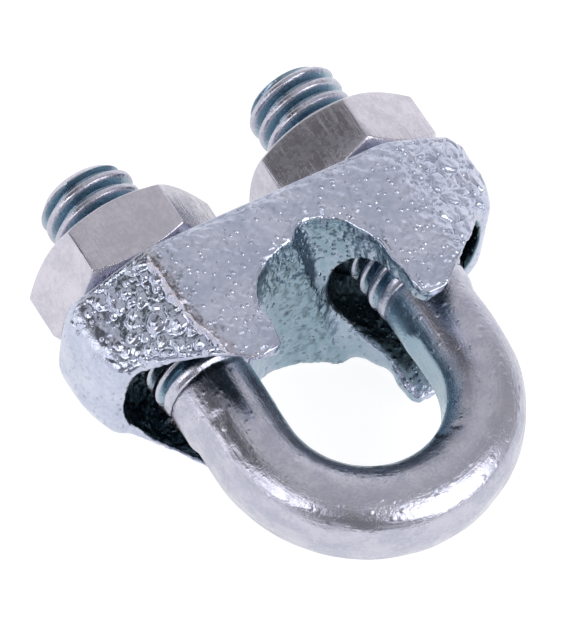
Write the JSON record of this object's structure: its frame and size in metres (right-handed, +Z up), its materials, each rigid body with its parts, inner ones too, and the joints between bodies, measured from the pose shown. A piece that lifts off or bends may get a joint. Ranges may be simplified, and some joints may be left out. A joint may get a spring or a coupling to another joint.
{
  "type": "wire rope clip",
  "caption": "Wire rope clip: a threaded U-bolt through a cast saddle, drawn up by hexagon nuts to clamp two lengths of rope together.",
  "frame": {"origin": "middle of the overall box at the saddle's lower face, with the clip lying on its back", "axes": "+X across the legs from the left leg to the right one, +Y along the legs towards their free ends, +Z up along the rope"},
  "size_m": [0.0186, 0.0206, 0.009],
  "materials": {
    "u_bolt_zinc": "bright blue zinc plate over drawn and bent steel rod",
    "cast_zinc": "bright blue zinc plate over a pebbly casting",
    "nut_zinc": "bright zinc plate over smooth cold-formed steel"
  },
  "bodies": {
    "saddle": {"saddle": "cast_zinc"},
    "u_bolt": {"u_bolt": "u_bolt_zinc"},
    "nut_left": {"nut_left": "nut_zinc"},
    "nut_right": {"nut_right": "nut_zinc"}
  },
  "joints": [
    {"name": "nut_left_turn", "type": "hinge", "parent": "saddle", "child": "nut_left", "pos_m": [-0.00485, 0, 0.0045], "axis": [0, 1, 0], "range_deg": [-1980, 1440]},
    {"name": "nut_right_turn", "type": "hinge", "parent": "saddle", "child": "nut_right", "pos_m": [0.00485, 0, 0.0045], "axis": [0, 1, 0], "range_deg": [-1980, 1440]},
    {"name": "u_bolt_slide", "type": "slide", "parent": "saddle", "child": "u_bolt", "axis": [0, 1, 0], "range_m": [-0.0028, 0.00385]}
  ],
  "couplings": [
    {"joint": "nut_left_turn", "follows": "u_bolt_slide", "rad_per_m": -8976},
    {"joint": "nut_right_turn", "follows": "u_bolt_slide", "rad_per_m": -8976}
  ]
}
